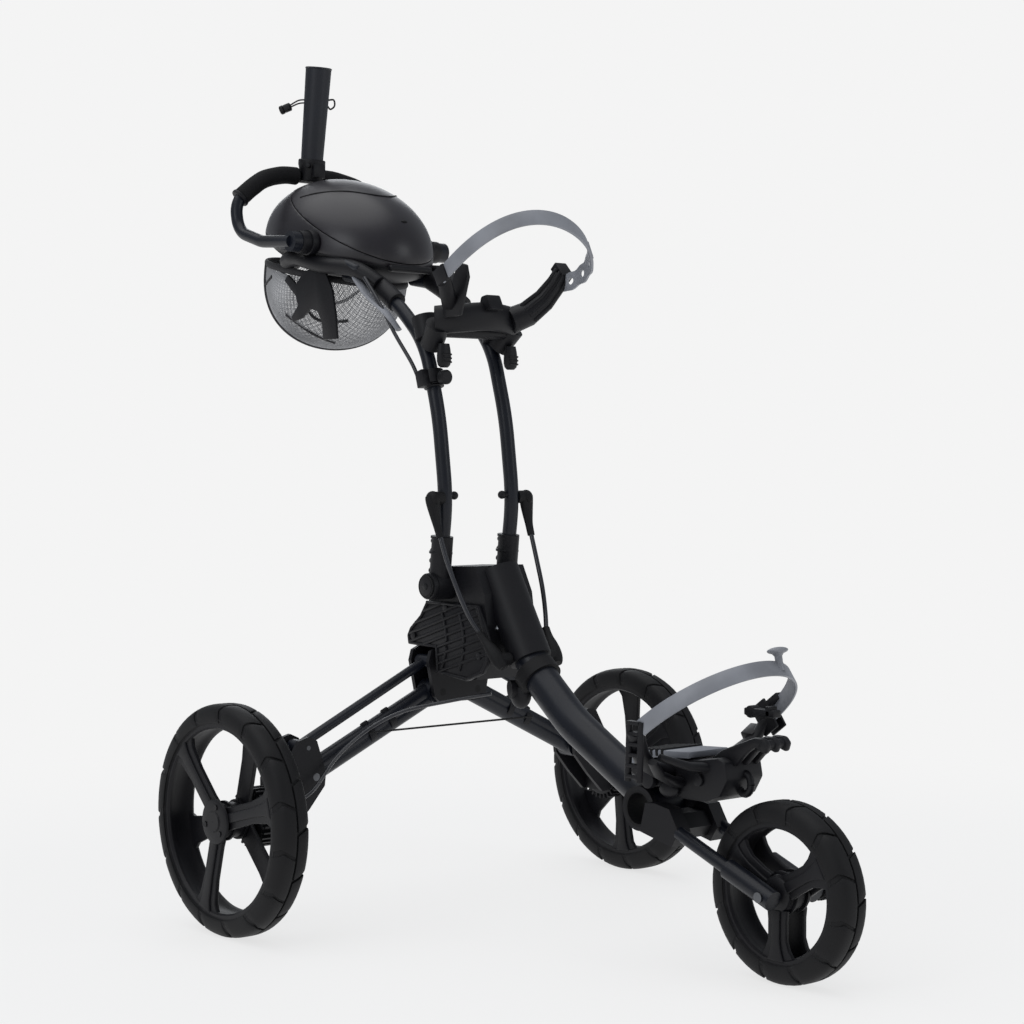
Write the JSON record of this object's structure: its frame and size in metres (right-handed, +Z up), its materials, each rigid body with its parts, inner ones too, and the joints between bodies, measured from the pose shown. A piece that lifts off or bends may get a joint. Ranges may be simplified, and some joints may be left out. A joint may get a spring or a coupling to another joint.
{
  "type": "golf push cart",
  "caption": "Folding three-wheeled golf push cart with a hub, two swing-down rear legs, front fork, two bag straps, console, net pouch and umbrella tube.",
  "frame": {"origin": "middle of the cart's footprint box, on the ground", "axes": "+X the cart's right side, +Y forward to the front wheel, +Z up"},
  "size_m": [0.735, 1.0876, 1.1563],
  "materials": {
    "black_alloy": "satin black paint on alloy tube",
    "black_nylon": "glass-filled nylon, fine grain",
    "hub_nylon": "ribbed moulded nylon",
    "lid_plastic": "satin charcoal moulding",
    "tyre_rubber": "solid EVA tyre, fine chevron tread",
    "soft_rubber": "matte rubber",
    "foam_grip": "closed-cell foam",
    "grey_silicone": "satin grey silicone",
    "net_mesh": "open polyester net with black binding",
    "steel_pin": "zinc-plated steel"
  },
  "bodies": {
    "chassis": {"main_tube": "black_alloy", "hub_casting": "hub_nylon", "hub_plate_right": "hub_nylon", "hub_plate_left": "hub_nylon", "spine_collar": "black_nylon", "leg_bracket": "black_nylon", "hub_pins": "steel_pin", "lower_bracket": "black_nylon", "lower_pad": "soft_rubber", "lower_strap": "grey_silicone", "stay_wire": "steel_pin", "brake_cable": "soft_rubber"},
    "rear_leg_right": {"leg_right": "black_alloy"},
    "leg_rod_right": {"fold_rod_right": "black_alloy"},
    "axle_knuckle_right": {"knuckle_right": "black_nylon", "axle_right": "steel_pin", "brake_drum_right": "black_nylon"},
    "rear_wheel_right": {"tyre_right": "tyre_rubber", "rim_right": "black_nylon", "hub_cap_right": "black_nylon"},
    "rear_leg_left": {"leg_left": "black_alloy"},
    "leg_rod_left": {"fold_rod_left": "black_alloy"},
    "axle_knuckle_left": {"knuckle_left": "black_nylon", "axle_left": "steel_pin", "brake_drum_left": "black_nylon"},
    "rear_wheel_left": {"tyre_left": "tyre_rubber", "rim_left": "black_nylon", "hub_cap_left": "black_nylon"},
    "fork": {"fork_yoke": "black_nylon", "pivot_bush": "black_nylon", "fork_arms": "black_alloy", "front_axle": "steel_pin"},
    "tracking_dial": {"tracking_knob": "black_nylon"},
    "front_wheel": {"front_tyre": "tyre_rubber", "front_rim": "black_nylon"},
    "upper_frame": {"upper_tube_right": "black_alloy", "upper_tube_left": "black_alloy", "tube_socket_right": "black_nylon", "tube_socket_left": "black_nylon", "fold_cables": "soft_rubber", "cable_boots": "soft_rubber", "upper_bracket": "black_nylon", "upper_strap": "grey_silicone", "tube_clamp": "black_nylon", "console_base": "black_nylon", "net_pouch": "net_mesh", "lever_cable": "soft_rubber"},
    "lid": {"console_lid": "lid_plastic"},
    "handle": {"handle_tube": "black_alloy", "handle_grips": "foam_grip", "umbrella_tube": "black_nylon", "umbrella_collar": "black_nylon", "cord_lock": "black_nylon"},
    "brake_handle": {"brake_lever": "black_nylon"},
    "clamp_screw": {"clamp_knob": "black_nylon"},
    "latch_right": {"bracket_latch_right": "black_nylon"},
    "latch_left": {"bracket_latch_left": "black_nylon"},
    "strap_buckle": {"lower_buckle": "black_nylon"}
  },
  "joints": [
    {"name": "upper_fold", "type": "hinge", "parent": "chassis", "child": "upper_frame", "pos_m": [0, -0.1172, 0.428], "axis": [1, 0, 0], "range_deg": [-75, 0], "deforming": ["fold_cables"]},
    {"name": "leg_fold_right", "type": "hinge", "parent": "chassis", "child": "rear_leg_right", "pos_m": [0.03, -0.1652, 0.285], "axis": [0, 1, 0], "range_deg": [0, 40], "deforming": ["stay_wire", "brake_cable"]},
    {"name": "leg_fold_left", "type": "hinge", "parent": "chassis", "child": "rear_leg_left", "pos_m": [-0.03, -0.1652, 0.285], "axis": [0, -1, 0], "range_deg": [0, 40]},
    {"name": "leg_rod_right", "type": "hinge", "parent": "chassis", "child": "leg_rod_right", "pos_m": [0.042, -0.1652, 0.326], "axis": [0, 1, 0], "range_deg": [0, 40]},
    {"name": "leg_rod_left", "type": "hinge", "parent": "chassis", "child": "leg_rod_left", "pos_m": [-0.042, -0.1652, 0.326], "axis": [0, -1, 0], "range_deg": [0, 40]},
    {"name": "knuckle_turn_right", "type": "hinge", "parent": "rear_leg_right", "child": "axle_knuckle_right", "pos_m": [0.229, -0.1752, 0.19], "axis": [0, 1, 0], "range_deg": [-40, 0]},
    {"name": "knuckle_turn_left", "type": "hinge", "parent": "rear_leg_left", "child": "axle_knuckle_left", "pos_m": [-0.229, -0.1752, 0.19], "axis": [0, -1, 0], "range_deg": [-40, 0]},
    {"name": "wheel_spin_right", "type": "hinge", "parent": "axle_knuckle_right", "child": "rear_wheel_right", "pos_m": [0.342, -0.1772, 0.145], "axis": [1, 0, 0], "continuous": true},
    {"name": "wheel_spin_left", "type": "hinge", "parent": "axle_knuckle_left", "child": "rear_wheel_left", "pos_m": [-0.342, -0.1772, 0.145], "axis": [1, 0, 0], "continuous": true},
    {"name": "fork_fold", "type": "hinge", "parent": "chassis", "child": "fork", "pos_m": [0, 0.2288, 0.176], "axis": [1, 0, 0], "range_deg": [-135, 0]},
    {"name": "wheel_spin_front", "type": "hinge", "parent": "fork", "child": "front_wheel", "pos_m": [0, 0.4398, 0.104], "axis": [1, 0, 0], "continuous": true},
    {"name": "tracking_turn", "type": "hinge", "parent": "fork", "child": "tracking_dial", "pos_m": [-0.056, 0.4398, 0.104], "axis": [1, 0, 0], "range_deg": [-90, 90]},
    {"name": "lid_open", "type": "hinge", "parent": "upper_frame", "child": "lid", "pos_m": [0, -0.24697, 0.8575], "axis": [1, 0, 0], "range_deg": [-35, 0]},
    {"name": "handle_tilt", "type": "hinge", "parent": "upper_frame", "child": "handle", "pos_m": [0, -0.3452, 0.889], "axis": [1, 0, 0], "range_deg": [-30, 2]},
    {"name": "brake_pull", "type": "hinge", "parent": "upper_frame", "child": "brake_handle", "pos_m": [0.084, -0.2952, 0.86], "axis": [1, 0, 0], "range_deg": [-12, 0]},
    {"name": "clamp_turn", "type": "hinge", "parent": "upper_frame", "child": "clamp_screw", "pos_m": [0.057, -0.1117, 0.7], "axis": [0, 1, 0], "range_deg": [-90, 90]},
    {"name": "latch_flip_right", "type": "hinge", "parent": "upper_frame", "child": "latch_right", "pos_m": [0.057, -0.1072, 0.74], "axis": [1, 0, 0], "range_deg": [0, 40]},
    {"name": "latch_flip_left", "type": "hinge", "parent": "upper_frame", "child": "latch_left", "pos_m": [-0.057, -0.1072, 0.74], "axis": [1, 0, 0], "range_deg": [0, 40]},
    {"name": "buckle_flip", "type": "hinge", "parent": "chassis", "child": "strap_buckle", "pos_m": [-0.083, 0.3088, 0.291], "axis": [1, 0, 0], "range_deg": [0, 35]}
  ],
  "couplings": [
    {"joint": "leg_fold_left", "follows": "leg_fold_right", "ratio": 1},
    {"joint": "leg_rod_right", "follows": "leg_fold_right", "ratio": 1},
    {"joint": "leg_rod_left", "follows": "leg_fold_right", "ratio": 1},
    {"joint": "knuckle_turn_right", "follows": "leg_fold_right", "ratio": -1},
    {"joint": "knuckle_turn_left", "follows": "leg_fold_right", "ratio": -1}
  ]
}
